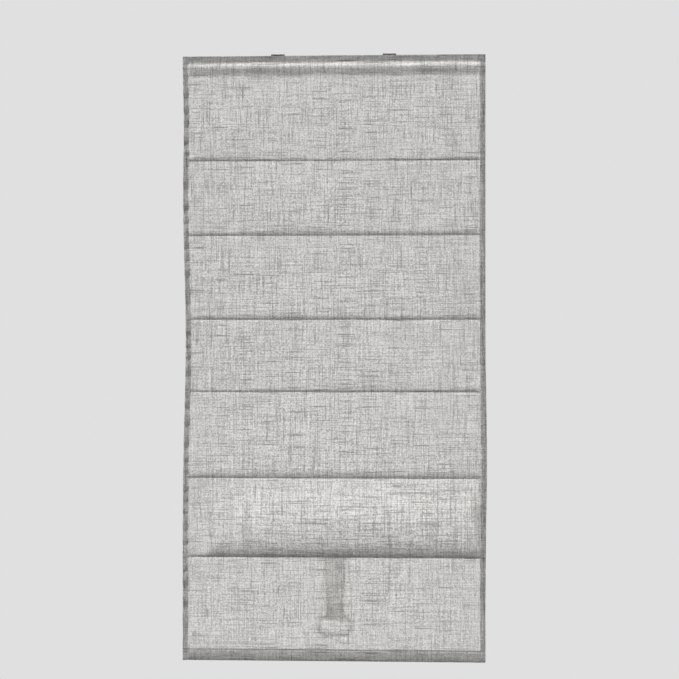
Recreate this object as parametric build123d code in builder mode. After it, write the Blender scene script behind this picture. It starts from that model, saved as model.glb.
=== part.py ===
# A cordless roman blind that is fixed inside a window recess and raised by hand.
# Millimetres, +Z up, +X to the right as seen from the room, the room side towards -Y.
# The origin lies in the plane of the lintel, midway between the four bracket screw holes.

import os
from math import acos, asin, cos, degrees, hypot, pi, radians, sin, sqrt, tan

from build123d import *

os.makedirs("parts", exist_ok=True)

# Clearances that several pieces share
running_clearance = 0.3
seat_clearance = 0.15
overrun = 1.0

# Head rail, a roll-formed channel with turned-in lips
rail_inset = 6.0
rail_depth = 40.0
rail_height = 18.0
rail_wall = 1.2
rail_lip = 5.0
rail_corner = 2.0
rail_drop = 4.5

# Rail end caps
cap_thickness = 2.0
cap_plug = 8.0
cap_wall = 1.5

# Brackets, folded from sheet and screwed up into the lintel
bracket_spacing = 300.0
bracket_width = 36.0
bracket_sheet = 1.5
bracket_corner = 3.0
bracket_tab_width = 13.0
bracket_tab_pitch = 22.0
hook_gap = 1.0
hook_reach = 3.5
screw_hole_radius = 2.4
screw_row_spacing = 16.0

# Hook half of the hook-and-loop tape
tape_end_gap = 7.5
tape_height = 15.0
tape_thickness = 1.2
tape_edge_gap = 1.0

# Cloth panel, the heights of its rod seams are shares of the drop
cloth_width = 813.0
cloth_drop = 1626.0
cloth_thickness = 1.0
side_hem = 14.0
header_hem = 17.0
bottom_hem = 29.0
seam_drop_shares = (0.174, 0.2975, 0.4365, 0.556, 0.6985, 0.829)

# Soft folds that hang forward over each seam, all of one shape, as shares of the largest
fold_height = 180.0
fold_reach = 18.0
fold_lip = 46.0
fold_shares = (0.3, 0.32, 0.3, 0.25, 0.45, 1.0)

# Cross rods and the sewn tunnels that hold them
rod_radius = 1.6
rod_end_gap = 6.0
tunnel_neck = 1.0
tunnel_neck_height = 2.0

# Moulded cord rings sewn to the tunnels
cord_ring_radius = 5.0
cord_ring_hole_radius = 3.4
cord_ring_thickness = 1.6

# Lift cords and the beads that tie them off
cord_radius = 0.7
cord_inset = 80.5
bead_radius = 3.5
bead_height = 10.0
bead_chamfer = 1.0

# Weight bar in the bottom hem
bar_height = 22.0
bar_thickness = 3.0
bar_edge = 1.2

# Pull strap and pull ring
strap_offset = 5.0
strap_width = 48.0
strap_top_width = 66.0
strap_thickness = 1.2
strap_length = 170.0
strap_fold = 44.0
pull_ring_width = 94.0
pull_ring_height = 55.0
pull_ring_corner = 22.0
pull_ring_bar = 8.0
pull_ring_chamfer = 2.3

# Spring motor: a tray with four posts, four meshed drums and a cover
tray_floor = 1.2
tray_wall = 1.5
tray_corner = 2.0
cover_thickness = 1.2
cover_head_room = 1.6
drum_end_gap = 0.3
gear_teeth = 20
gear_thickness = 3.0
gear_rim_gap = 0.5
gear_backlash = 0.3
gear_pressure_angle = 20
gear_dedendum_share = 1.25
post_radius = 2.5
post_tip_gap = 0.5
drum_flange_thickness = 0.8
drum_flange_gap = 1.0
output_core_radius = 7.5
storage_core_radius = 6.0
spring_thickness = 0.5
spring_full_radius = 12.5
spring_empty_radius = 8.0
cord_slot_width = 4.0
cord_under_flange = 1.5
motor_screw_radius = 1.25
motor_screw_length = 7.0
motor_screw_head_radius = 2.3
motor_screw_head_height = 1.2
motor_boss_radius = 3.0
motor_boss_inset = 2.0

# Cord guides, in which the cord turns down over a polished pin
guide_length = 22.0
guide_base = 1.2
guide_gap = 6.0
guide_cheek = 2.0
guide_cheek_width = 9.0
guide_collar_radius = 3.8
guide_collar_drop = 1.0
guide_hole_radius = 2.0
guide_pin_radius = 3.0

# Levels and length of the rail, which ends a little inside the cloth's edges
rail_length = cloth_width - 2 * rail_inset
rail_top = -rail_drop
rail_middle = rail_top - rail_height / 2
rail_bottom = rail_top - rail_height
rail_floor = rail_bottom + rail_wall
rail_lip_underside = rail_top - rail_wall
rail_front = -rail_depth / 2
rail_inner_depth = rail_depth - 2 * rail_wall
rail_inner_height = rail_height - 2 * rail_wall

# Places of the cloth: the sheet hangs in front of the tape, its hem is turned to the back
sheet_back = rail_front - tape_thickness - cloth_thickness
sheet_front = sheet_back - cloth_thickness
cloth_top = rail_top
cloth_bottom = cloth_top - cloth_drop
middle_half_width = cloth_width / 2 - side_hem
seam_heights = [cloth_top - share * cloth_drop for share in seam_drop_shares]
hem_pocket_depth = bar_thickness + 2 * running_clearance
hem_depth = hem_pocket_depth + 2 * cloth_thickness
hem_pocket_height = bottom_hem - 2 * cloth_thickness

# Places of the rods, rings and cords
tunnel_hole_radius = rod_radius + running_clearance
tunnel_radius = tunnel_hole_radius + cloth_thickness
rod_y = sheet_back + tunnel_neck + tunnel_radius
rod_length = 2 * (middle_half_width - rod_end_gap)
tunnel_back = rod_y + tunnel_radius
cord_y = tunnel_back + running_clearance + cord_ring_radius
cord_x = cloth_width / 2 - cord_inset

# Places inside the spring motor, which fills the rail from wall to wall
tray_half_width = rail_inner_depth / 2 - running_clearance
tray_inner_half_width = tray_half_width - tray_wall
gear_tip_radius = tray_inner_half_width - gear_rim_gap
gear_pitch_radius = gear_tip_radius / (1 + 2 / gear_teeth)
gear_module = 2 * gear_pitch_radius / gear_teeth
gear_root_radius = gear_pitch_radius - gear_dedendum_share * gear_module
gear_spacing = 2 * gear_pitch_radius
drum_names = ("cord_spool_left", "output_drum", "storage_drum", "cord_spool_right")
drum_places = [(i - (len(drum_names) - 1) / 2) * gear_spacing for i in range(len(drum_names))]
spool_x = drum_places[-1]
tray_inner_half_length = spool_x + gear_tip_radius + gear_rim_gap
tray_half_length = tray_inner_half_length + tray_wall
tray_floor_top = rail_floor + tray_floor
cover_top = rail_lip_underside - cover_head_room
cover_bottom = cover_top - cover_thickness
gear_bottom = tray_floor_top + drum_end_gap
gear_top = gear_bottom + gear_thickness
flange_top = cover_bottom - drum_end_gap
flange_bottom = flange_top - drum_flange_thickness
barrel_height = flange_bottom - gear_top
drum_flange_radius = gear_pitch_radius - drum_flange_gap / 2
drum_bore_radius = post_radius + running_clearance
spool_coil_radius = -cord_y
spool_core_radius = spool_coil_radius - cord_radius - running_clearance
drum_core_radii = (spool_core_radius, output_core_radius, storage_core_radius, spool_core_radius)
cord_level = flange_bottom - cord_under_flange
boss_x = tray_inner_half_length - motor_boss_inset
boss_y = tray_inner_half_width - motor_boss_inset
boss_places = [(x, y) for x in (-boss_x, boss_x) for y in (-boss_y, boss_y)]

# Places of the cord guides
guide_top = rail_floor + guide_base
cord_turn_radius = guide_pin_radius + cord_radius + running_clearance
guide_x = cord_x - cord_turn_radius
guide_pin_z = cord_level - cord_turn_radius
guide_half_depth = guide_gap / 2 + guide_cheek

# Places of the strap and the pull ring
strap_front = tunnel_back + running_clearance
pull_bar_reach = hypot(pull_ring_bar / 2, pull_ring_bar / 2 - pull_ring_chamfer)
strap_loop_hole_radius = pull_bar_reach + running_clearance
strap_loop_radius = strap_loop_hole_radius + strap_thickness
strap_top = seam_heights[-1] + tunnel_radius
pull_bar_y = strap_front + strap_loop_radius
pull_bar_z = seam_heights[-1] - strap_length

sides = (("left", -1), ("right", 1))


# Head rail
with BuildPart() as head_rail:
    with BuildSketch(Plane.YZ.offset(-rail_length / 2)):
        with Locations((0, rail_middle)):
            RectangleRounded(rail_depth, rail_height, rail_corner)
            RectangleRounded(
                rail_inner_depth, rail_inner_height, rail_corner - rail_wall, mode=Mode.SUBTRACT
            )
        with Locations((0, rail_top - rail_wall / 2)):
            Rectangle(rail_depth - 2 * rail_lip, rail_wall, mode=Mode.SUBTRACT)
    extrude(amount=rail_length)
    with BuildSketch(Plane.XY.offset(rail_bottom)):
        with Locations((-cord_x, cord_y), (cord_x, cord_y)):
            Circle(guide_collar_radius + seat_clearance)
    extrude(amount=rail_wall + overrun, mode=Mode.SUBTRACT)
head_rail.part.label = "head_rail"
export_step(head_rail.part, "parts/head_rail.step")

# End caps: a plate over the end of the rail and a hollow plug inside it
for side, sign in sides:
    end_plane = Plane.YZ.offset(sign * rail_length / 2)
    plug_depth = rail_inner_depth - 2 * seat_clearance
    plug_height = rail_inner_height - 2 * seat_clearance
    with BuildPart() as end_cap:
        with BuildSketch(end_plane):
            with Locations((0, rail_middle)):
                RectangleRounded(rail_depth, rail_height, rail_corner)
        extrude(amount=sign * cap_thickness)
        with BuildSketch(end_plane):
            with Locations((0, rail_middle)):
                RectangleRounded(plug_depth, plug_height, rail_corner - rail_wall)
                Rectangle(plug_depth - 2 * cap_wall, plug_height - 2 * cap_wall, mode=Mode.SUBTRACT)
        extrude(amount=-sign * cap_plug)
    end_cap.part.label = f"rail_end_cap_{side}"
    export_step(end_cap.part, f"parts/rail_end_cap_{side}.step")

# Brackets: a screw plate, two tabs folded down at the front, and hooks under the rail's lips
for side, sign in sides:
    bracket_x = sign * bracket_spacing / 2
    leg_outside = rail_depth / 2 - rail_lip - hook_gap
    foot_bottom = rail_lip_underside - bracket_sheet
    with BuildPart() as bracket:
        with BuildSketch(Plane.XY.offset(-bracket_sheet)):
            with Locations((bracket_x, 0)):
                Rectangle(bracket_width, rail_depth)
            with Locations((bracket_x, -screw_row_spacing / 2), (bracket_x, screw_row_spacing / 2)):
                Circle(screw_hole_radius, mode=Mode.SUBTRACT)
        extrude(amount=bracket_sheet)
        fillet(bracket.edges().filter_by(Axis.Z).group_by(Axis.Y)[-1], bracket_corner)
        for tab in (-1, 1):
            tab_x = bracket_x + tab * bracket_tab_pitch / 2
            with BuildSketch(Plane.YZ.offset(tab_x - bracket_tab_width / 2)):
                with Locations((rail_front - bracket_sheet, rail_top + seat_clearance)):
                    Rectangle(bracket_sheet, rail_drop - seat_clearance, align=(Align.MIN, Align.MIN))
                for row, inner in ((-1, Align.MAX), (1, Align.MIN)):
                    with Locations((row * (leg_outside - bracket_sheet), foot_bottom)):
                        Rectangle(bracket_sheet, -foot_bottom, align=(inner, Align.MIN))
                        Rectangle(bracket_sheet + hook_reach, bracket_sheet, align=(inner, Align.MIN))
            extrude(amount=bracket_tab_width)
    bracket.part.label = f"bracket_{side}"
    export_step(bracket.part, f"parts/bracket_{side}.step")

# Hook tape on the front of the rail
with BuildPart() as hook_tape:
    with BuildSketch(Plane.XZ.offset(-rail_front)):
        with Locations((0, rail_top - tape_edge_gap)):
            Rectangle(rail_length - 2 * tape_end_gap, tape_height, align=(Align.CENTER, Align.MAX))
    extrude(amount=tape_thickness)
hook_tape.part.label = "hook_tape"
export_step(hook_tape.part, "parts/hook_tape.step")


def draw_sheet_face(inset):
    """Draw one face of the sheet, inset from the front face: flat panels, and a soft fold over each seam."""
    face_y = sheet_front + inset
    panel_top = cloth_top
    for seam_height, share in zip(seam_heights, fold_shares):
        lip = share * fold_lip
        reach = share * fold_reach
        rise = share * (fold_height - fold_lip)
        crest = seam_height + lip
        fold_top = crest + rise
        sway_radius = (rise**2 + reach**2) / (4 * reach)
        sway_angle = degrees(asin(rise / (2 * sway_radius)))
        tuck_radius = (lip**2 + reach**2) / (2 * reach)
        tuck_angle = degrees(acos((tuck_radius - reach - inset) / (tuck_radius - inset)))
        forward_centre = (sheet_front - sway_radius, fold_top)
        upright_centre = (sheet_front - reach + sway_radius, crest)
        tuck_centre = (sheet_front - reach + tuck_radius, crest)
        Line((face_y, panel_top), (face_y, fold_top))
        CenterArc(forward_centre, sway_radius + inset, 0, -sway_angle)
        CenterArc(upright_centre, sway_radius - inset, 180 - sway_angle, sway_angle)
        tuck = CenterArc(tuck_centre, tuck_radius - inset, 180, tuck_angle)
        panel_top = (tuck @ 1).Y
    Line((face_y, panel_top), (face_y, cloth_bottom))


def draw_sheet(thickness):
    """Draw the section of the hanging sheet, its front face where the cloth hangs."""
    with BuildLine() as outline:
        draw_sheet_face(0)
        draw_sheet_face(thickness)
        Line((sheet_front, cloth_top), (sheet_front + thickness, cloth_top))
        Line((sheet_front, cloth_bottom), (sheet_front + thickness, cloth_bottom))
    make_face(outline.edges())


# Cloth panel: one sheet with rod tunnels behind the seams, a header hem, a bottom pocket and side hems
with BuildPart() as fabric_panel:
    with BuildSketch(Plane.YZ):
        draw_sheet(cloth_thickness)
        with Locations((sheet_back, cloth_top)):
            Rectangle(cloth_thickness, header_hem, align=(Align.MIN, Align.MAX))
        for seam_height in seam_heights:
            with Locations((sheet_back, seam_height)):
                Rectangle(tunnel_neck + cloth_thickness, tunnel_neck_height, align=(Align.MIN, Align.CENTER))
            with Locations((rod_y, seam_height)):
                Circle(tunnel_radius)
                Circle(tunnel_hole_radius, mode=Mode.SUBTRACT)
        with Locations((sheet_front, cloth_bottom)):
            Rectangle(hem_depth, bottom_hem, align=(Align.MIN, Align.MIN))
        with Locations((sheet_back, cloth_bottom + cloth_thickness)):
            Rectangle(hem_pocket_depth, hem_pocket_height, align=(Align.MIN, Align.MIN), mode=Mode.SUBTRACT)
    extrude(amount=middle_half_width, both=True)
    for side, sign in sides:
        with BuildSketch(Plane.YZ.offset(sign * middle_half_width)):
            draw_sheet(2 * cloth_thickness)
            with Locations((sheet_front, cloth_bottom)):
                Rectangle(hem_depth, bottom_hem, align=(Align.MIN, Align.MIN))
        extrude(amount=sign * side_hem)
fabric_panel.part.label = "fabric_panel"
export_step(fabric_panel.part, "parts/fabric_panel.step")

# Cross rods, each in its tunnel
for number, seam_height in enumerate(seam_heights, 1):
    with BuildPart() as rod:
        with BuildSketch(Plane.YZ.offset(-rod_length / 2)):
            with Locations((rod_y, seam_height)):
                Circle(rod_radius)
        extrude(amount=rod_length)
    rod.part.label = f"rod_{number}"
    export_step(rod.part, f"parts/rod_{number}.step")

# Cord rings, two behind each tunnel
for number, seam_height in enumerate(seam_heights, 1):
    with BuildPart() as cord_rings:
        with BuildSketch(Plane.XY.offset(seam_height - cord_ring_thickness / 2)):
            with Locations((-cord_x, cord_y), (cord_x, cord_y)):
                Circle(cord_ring_radius)
                Circle(cord_ring_hole_radius, mode=Mode.SUBTRACT)
        extrude(amount=cord_ring_thickness)
    cord_rings.part.label = f"cord_rings_{number}"
    export_step(cord_rings.part, f"parts/cord_rings_{number}.step")

# Cord stops: a bead on each cord under the lowest ring
bead_top = seam_heights[-1] - cord_ring_thickness / 2 - running_clearance
bead_bottom = bead_top - bead_height
with BuildPart() as cord_stops:
    with BuildSketch(Plane.XY.offset(bead_bottom)):
        with Locations((-cord_x, cord_y), (cord_x, cord_y)):
            Circle(bead_radius)
            Circle(cord_radius + running_clearance, mode=Mode.SUBTRACT)
    extrude(amount=bead_height)
    rims = cord_stops.edges().filter_by(GeomType.CIRCLE).group_by(SortBy.RADIUS)[-1]
    chamfer(rims, bead_chamfer)
cord_stops.part.label = "cord_stops"
export_step(cord_stops.part, "parts/cord_stops.step")

# Weight bar with rounded edges in the bottom pocket
with BuildPart() as bottom_bar:
    with BuildSketch(Plane.YZ.offset(-rod_length / 2)):
        bar_low = cloth_bottom + cloth_thickness + running_clearance
        with Locations((sheet_back + hem_pocket_depth / 2, bar_low + bar_height / 2)):
            RectangleRounded(bar_thickness, bar_height, bar_edge)
    extrude(amount=rod_length)
bottom_bar.part.label = "bottom_bar"
export_step(bottom_bar.part, "parts/bottom_bar.step")

# Pull strap: webbing that hangs from the lowest tunnel and narrows to the ring, its end turned round it
with BuildPart() as pull_strap:
    with BuildSketch(Plane.YZ.offset(strap_offset - strap_top_width / 2)):
        with Locations((strap_front, pull_bar_z)):
            Rectangle(strap_thickness, strap_top - pull_bar_z, align=(Align.MIN, Align.MIN))
            Rectangle(2 * strap_thickness, strap_fold, align=(Align.MIN, Align.MIN))
        with Locations((pull_bar_y, pull_bar_z)):
            Circle(strap_loop_radius)
            Circle(strap_loop_hole_radius, mode=Mode.SUBTRACT)
    extrude(amount=strap_top_width)
    with BuildSketch(Plane.XZ.offset(-strap_front)):
        with Locations((strap_offset, 0)):
            Polygon(
                (-strap_top_width / 2, strap_top),
                (-strap_width / 2, pull_bar_z + strap_fold),
                (-strap_width / 2, pull_bar_z - strap_loop_radius),
                (strap_width / 2, pull_bar_z - strap_loop_radius),
                (strap_width / 2, pull_bar_z + strap_fold),
                (strap_top_width / 2, strap_top),
                align=None,
            )
    extrude(amount=-2 * strap_loop_radius, mode=Mode.INTERSECT)
pull_strap.part.label = "pull_strap"
export_step(pull_strap.part, "parts/pull_strap.step")

# Pull ring: a moulded frame with chamfered edges, its top bar in the strap's loop
ring_hole_width = pull_ring_width - 2 * pull_ring_bar
ring_hole_height = pull_ring_height - 2 * pull_ring_bar
with BuildPart() as pull_ring:
    with BuildSketch(Plane.XZ.offset(-pull_bar_y)):
        with Locations((strap_offset, pull_bar_z + pull_ring_bar / 2 - pull_ring_height / 2)):
            RectangleRounded(pull_ring_width, pull_ring_height, pull_ring_corner)
            RectangleRounded(
                ring_hole_width, ring_hole_height, pull_ring_corner - pull_ring_bar, mode=Mode.SUBTRACT
            )
    extrude(amount=pull_ring_bar / 2, both=True)
    ring_faces = pull_ring.faces().filter_by(Axis.Y)
    chamfer(ring_faces.edges(), pull_ring_chamfer)
pull_ring.part.label = "pull_ring"
export_step(pull_ring.part, "parts/pull_ring.step")

# Motor tray: a shallow box on the floor of the rail with drum posts, screw bosses and cord slots
with BuildPart() as motor_tray:
    with BuildSketch(Plane.XY.offset(rail_floor)):
        RectangleRounded(2 * tray_half_length, 2 * tray_half_width, tray_corner)
    extrude(amount=cover_bottom - rail_floor)
    chamfer(motor_tray.edges().group_by(Axis.Z)[0].filter_by(Axis.X), rail_corner - rail_wall)
    with BuildSketch(Plane.XY.offset(tray_floor_top)):
        Rectangle(2 * tray_inner_half_length, 2 * tray_inner_half_width)
    extrude(amount=cover_bottom - tray_floor_top, mode=Mode.SUBTRACT)
    with BuildSketch(Plane.XY.offset(tray_floor_top)):
        with Locations(*boss_places):
            Circle(motor_boss_radius)
    extrude(amount=cover_bottom - tray_floor_top)
    with BuildSketch(Plane.XY.offset(tray_floor_top)):
        with Locations(*[(x, 0) for x in drum_places]):
            Circle(post_radius)
    extrude(amount=cover_top - post_tip_gap - tray_floor_top)
    with BuildSketch(Plane.XY.offset(cover_bottom)):
        with Locations(*boss_places):
            Circle(motor_screw_radius + seat_clearance)
    extrude(amount=-motor_screw_length, mode=Mode.SUBTRACT)
    with BuildSketch(Plane.YZ.offset(-tray_half_length)):
        with Locations((cord_y, cord_level - cord_slot_width / 2)):
            Rectangle(cord_slot_width, cover_bottom - gear_top, align=(Align.CENTER, Align.MIN))
    extrude(amount=2 * tray_half_length, mode=Mode.SUBTRACT)
motor_tray.part.label = "motor_tray"
export_step(motor_tray.part, "parts/motor_tray.step")

# Motor cover, screwed to the bosses of the tray
with BuildPart() as motor_cover:
    with BuildSketch(Plane.XY.offset(cover_bottom)):
        RectangleRounded(2 * tray_half_length, 2 * tray_half_width, tray_corner)
        with Locations(*[(x, 0) for x in drum_places]):
            Circle(post_radius + seat_clearance, mode=Mode.SUBTRACT)
        with Locations(*boss_places):
            Circle(motor_screw_radius + seat_clearance, mode=Mode.SUBTRACT)
    extrude(amount=cover_thickness)
motor_cover.part.label = "motor_cover"
export_step(motor_cover.part, "parts/motor_cover.step")

# Four pan-head screws that hold the cover
screw_tip = cover_top - motor_screw_length
with BuildPart() as motor_screws:
    with BuildSketch(Plane.XY.offset(screw_tip)):
        with Locations(*boss_places):
            Circle(motor_screw_radius)
    extrude(amount=motor_screw_length)
    with BuildSketch(Plane.XY.offset(cover_top)):
        with Locations(*boss_places):
            Circle(motor_screw_head_radius)
    extrude(amount=motor_screw_head_height)
motor_screws.part.label = "motor_screws"
export_step(motor_screws.part, "parts/motor_screws.step")


def involute(angle):
    """Give the involute of a pressure angle in radians."""
    return tan(angle) - angle


def draw_gear(turn):
    """Draw a spur gear with involute flanks, its first tooth turned from the X direction."""
    base_radius = gear_pitch_radius * cos(radians(gear_pressure_angle))
    pitch_half_angle = pi / (2 * gear_teeth) - gear_backlash / (4 * gear_pitch_radius)
    base_half_angle = pitch_half_angle + involute(radians(gear_pressure_angle))
    tip_half_angle = base_half_angle - involute(acos(base_radius / gear_tip_radius))
    flank = (
        (gear_root_radius, base_half_angle),
        (gear_pitch_radius, pitch_half_angle),
        (gear_tip_radius, tip_half_angle),
    )
    outline = []
    for tooth in range(gear_teeth):
        middle = turn + 2 * pi * tooth / gear_teeth
        rising = [(radius, middle - half_angle) for radius, half_angle in flank]
        falling = [(radius, middle + half_angle) for radius, half_angle in reversed(flank)]
        outline += [(radius * cos(angle), radius * sin(angle)) for radius, angle in rising + falling]
    with BuildLine() as rim:
        Polyline(*outline, close=True)
    make_face(rim.edges())


# Drums of the spring motor: a gear below, a barrel, and a flange above, each turning on its post
for number, (name, drum_x, core_radius) in enumerate(zip(drum_names, drum_places, drum_core_radii)):
    with BuildPart() as drum:
        with BuildSketch(Plane((drum_x, 0, gear_bottom))):
            draw_gear(number % 2 * pi / gear_teeth)
        extrude(amount=gear_thickness)
        with BuildSketch(Plane((drum_x, 0, gear_top))):
            Circle(core_radius)
        extrude(amount=barrel_height)
        with BuildSketch(Plane((drum_x, 0, flange_bottom))):
            Circle(drum_flange_radius)
        extrude(amount=drum_flange_thickness)
        with BuildSketch(Plane((drum_x, 0, gear_bottom))):
            Circle(drum_bore_radius)
        extrude(amount=flange_top - gear_bottom, mode=Mode.SUBTRACT)
    drum.part.label = name
    export_step(drum.part, f"parts/{name}.step")

# Power spring: a steel ribbon, wound on the output drum and crossing over to the storage drum
output_x, storage_x = drum_places[1:3]
ribbon_full_radius = spring_full_radius - spring_thickness / 2
ribbon_empty_radius = spring_empty_radius - spring_thickness / 2
crossing = asin((ribbon_full_radius + ribbon_empty_radius) / gear_spacing)
ribbon_side = (sin(crossing), cos(crossing))
ribbon_start = (output_x + ribbon_full_radius * ribbon_side[0], -ribbon_full_radius * ribbon_side[1])
ribbon_end = (storage_x - ribbon_empty_radius * ribbon_side[0], ribbon_empty_radius * ribbon_side[1])
with BuildPart() as power_spring:
    with BuildSketch(Plane.XY.offset(gear_top + drum_end_gap)):
        with BuildLine():
            Line(ribbon_start, ribbon_end)
        trace(line_width=spring_thickness)
        with Locations((output_x, 0)):
            Circle(spring_full_radius)
            Circle(output_core_radius + running_clearance, mode=Mode.SUBTRACT)
        with Locations((storage_x, 0)):
            Circle(spring_empty_radius)
            Circle(storage_core_radius + running_clearance, mode=Mode.SUBTRACT)
    extrude(amount=barrel_height - 2 * drum_end_gap)
power_spring.part.label = "power_spring"
export_step(power_spring.part, "parts/power_spring.step")

# Cord guides: a base on the rail floor, a collar through it, and two cheeks that hold the pin
for side, sign in sides:
    with BuildPart() as cord_guide:
        with BuildSketch(Plane.XY.offset(rail_floor)):
            with Locations((sign * guide_x, cord_y)):
                Rectangle(guide_length, 2 * guide_half_depth)
        extrude(amount=guide_base)
        with BuildSketch(Plane.XY.offset(rail_floor)):
            with Locations((sign * cord_x, cord_y)):
                Circle(guide_collar_radius)
        extrude(amount=rail_bottom - guide_collar_drop - rail_floor)
        for cheek in (-1, 1):
            with BuildSketch(Plane.XZ.offset(-cord_y - cheek * guide_gap / 2)):
                with Locations((sign * guide_x, guide_top)):
                    Rectangle(guide_cheek_width, guide_pin_z - guide_top, align=(Align.CENTER, Align.MIN))
                with Locations((sign * guide_x, guide_pin_z)):
                    Circle(guide_cheek_width / 2)
                    Circle(guide_pin_radius + seat_clearance, mode=Mode.SUBTRACT)
            extrude(amount=-cheek * guide_cheek)
        with BuildSketch(Plane.XY.offset(guide_top)):
            with Locations((sign * cord_x, cord_y)):
                Circle(guide_hole_radius)
        extrude(amount=rail_bottom - guide_collar_drop - guide_top, mode=Mode.SUBTRACT)
    cord_guide.part.label = f"cord_guide_{side}"
    export_step(cord_guide.part, f"parts/cord_guide_{side}.step")

# Guide pins, pressed through the cheeks
for side, sign in sides:
    with BuildPart() as guide_pin:
        with BuildSketch(Plane.XZ.offset(-cord_y - guide_half_depth)):
            with Locations((sign * guide_x, guide_pin_z)):
                Circle(guide_pin_radius)
        extrude(amount=2 * guide_half_depth)
    guide_pin.part.label = f"guide_pin_{side}"
    export_step(guide_pin.part, f"parts/guide_pin_{side}.step")

# Lift cords: from the spool along the rail, over the pin and down through the rings to the bead
half_turn_share = sqrt(0.5)
for side, sign in sides:
    with BuildPart() as lift_cord:
        with BuildLine() as route:
            Line((sign * spool_x, cord_y, cord_level), (sign * guide_x, cord_y, cord_level))
            ThreePointArc(
                (sign * guide_x, cord_y, cord_level),
                (
                    sign * (guide_x + half_turn_share * cord_turn_radius),
                    cord_y,
                    guide_pin_z + half_turn_share * cord_turn_radius,
                ),
                (sign * cord_x, cord_y, guide_pin_z),
            )
            Line((sign * cord_x, cord_y, guide_pin_z), (sign * cord_x, cord_y, bead_bottom))
        with BuildSketch(Plane(route.line @ 0, z_dir=route.line % 0)):
            Circle(cord_radius)
        sweep(path=route.wire())
    lift_cord.part.label = f"lift_cord_{side}"
    export_step(lift_cord.part, f"parts/lift_cord_{side}.step")
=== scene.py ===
import math
import bmesh
import bpy
from mathutils import Matrix, Vector, noise


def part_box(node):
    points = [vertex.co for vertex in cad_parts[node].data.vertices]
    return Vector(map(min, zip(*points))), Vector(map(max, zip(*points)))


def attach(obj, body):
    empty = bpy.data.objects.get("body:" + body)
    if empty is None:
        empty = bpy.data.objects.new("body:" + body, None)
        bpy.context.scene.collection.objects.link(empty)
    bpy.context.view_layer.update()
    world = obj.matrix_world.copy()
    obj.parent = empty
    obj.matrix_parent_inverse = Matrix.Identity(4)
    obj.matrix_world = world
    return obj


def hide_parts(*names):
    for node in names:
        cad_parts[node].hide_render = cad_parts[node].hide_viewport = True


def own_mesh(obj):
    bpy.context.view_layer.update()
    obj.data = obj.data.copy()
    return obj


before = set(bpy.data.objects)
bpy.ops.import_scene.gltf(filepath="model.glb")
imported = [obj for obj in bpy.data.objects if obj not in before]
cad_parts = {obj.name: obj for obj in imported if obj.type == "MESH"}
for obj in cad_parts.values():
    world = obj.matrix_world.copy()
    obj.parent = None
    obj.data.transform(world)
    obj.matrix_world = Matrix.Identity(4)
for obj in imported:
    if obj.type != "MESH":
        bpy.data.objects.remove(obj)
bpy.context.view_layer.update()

# Head rail
# A shallow U channel, roll-formed from thin steel with its lips turned in.
# Powder-coated white, it snaps up into the two brackets and carries everything else.


def start_finish(name, roughness, metallic=0.0):
    """A new material and its shader."""
    finish = bpy.data.materials.new(name)
    finish.use_nodes = True
    shader = finish.node_tree.nodes["Principled BSDF"]
    shader.inputs["Roughness"].default_value = roughness
    shader.inputs["Metallic"].default_value = metallic
    return finish, shader


def on_piece(finish, kind):
    """A new node of this kind that reads its place on the piece itself."""
    tree = finish.node_tree
    place = tree.nodes.new("ShaderNodeTexCoord")
    node = tree.nodes.new(kind)
    tree.links.new(place.outputs["Object"], node.inputs["Vector"])
    return node


def grain(finish, stretch, detail):
    """Soft noise over the piece, with this many waves to the metre along X, Y and Z."""
    size = on_piece(finish, "ShaderNodeMapping")
    size.inputs["Scale"].default_value = stretch
    pattern = finish.node_tree.nodes.new("ShaderNodeTexNoise")
    pattern.inputs["Scale"].default_value = 1.0
    pattern.inputs["Detail"].default_value = detail
    finish.node_tree.links.new(size.outputs["Vector"], pattern.inputs["Vector"])
    return pattern.outputs["Fac"]


def shades(finish, value, *stops):
    """Turns a value into colours, each stop being a place from 0 to 1 and its colour."""
    ramp = finish.node_tree.nodes.new("ShaderNodeValToRGB")
    points = ramp.color_ramp.elements
    while len(points) < len(stops):
        points.new(1.0)
    for point, (place, colour) in zip(points, stops):
        point.position = place
        point.color = (*colour, 1)
    finish.node_tree.links.new(value, ramp.inputs["Fac"])
    return ramp.outputs["Color"]


def paint(finish, shader, value, *stops):
    """Colours the surface by a value, from stop to stop."""
    colour = shades(finish, value, *stops)
    finish.node_tree.links.new(colour, shader.inputs["Base Color"])


def spread(finish, value, low, high, start=0.3, end=0.7):
    """The same value, moved from the range start to end to the range low to high."""
    scale = finish.node_tree.nodes.new("ShaderNodeMapRange")
    scale.inputs["From Min"].default_value = start
    scale.inputs["From Max"].default_value = end
    scale.inputs["To Min"].default_value = low
    scale.inputs["To Max"].default_value = high
    finish.node_tree.links.new(value, scale.inputs["Value"])
    return scale.outputs["Result"]


def relief(finish, shader, value, height):
    """Raises the surface by up to this height, in metres, where the value is high."""
    bump = finish.node_tree.nodes.new("ShaderNodeBump")
    bump.inputs["Distance"].default_value = height
    finish.node_tree.links.new(value, bump.inputs["Height"])
    finish.node_tree.links.new(bump.outputs["Normal"], shader.inputs["Normal"])


def worn_finish(name, dark, light, patches, fine, height, roughness, metallic=0.0):
    """A hard finish: two close shades in patches, uneven gloss, and a fine surface grain."""
    patch_detail, fine_detail = 5.0, 2.0
    dark_below, light_above = 0.35, 0.65
    gloss_change = 0.08
    finish, shader = start_finish(name, roughness, metallic)
    patch = grain(finish, patches, patch_detail)
    paint(finish, shader, patch, (dark_below, dark), (light_above, light))
    gloss = spread(finish, patch, roughness + gloss_change, roughness - gloss_change)
    finish.node_tree.links.new(gloss, shader.inputs["Roughness"])
    relief(finish, shader, grain(finish, fine, fine_detail), height)
    return finish


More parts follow.
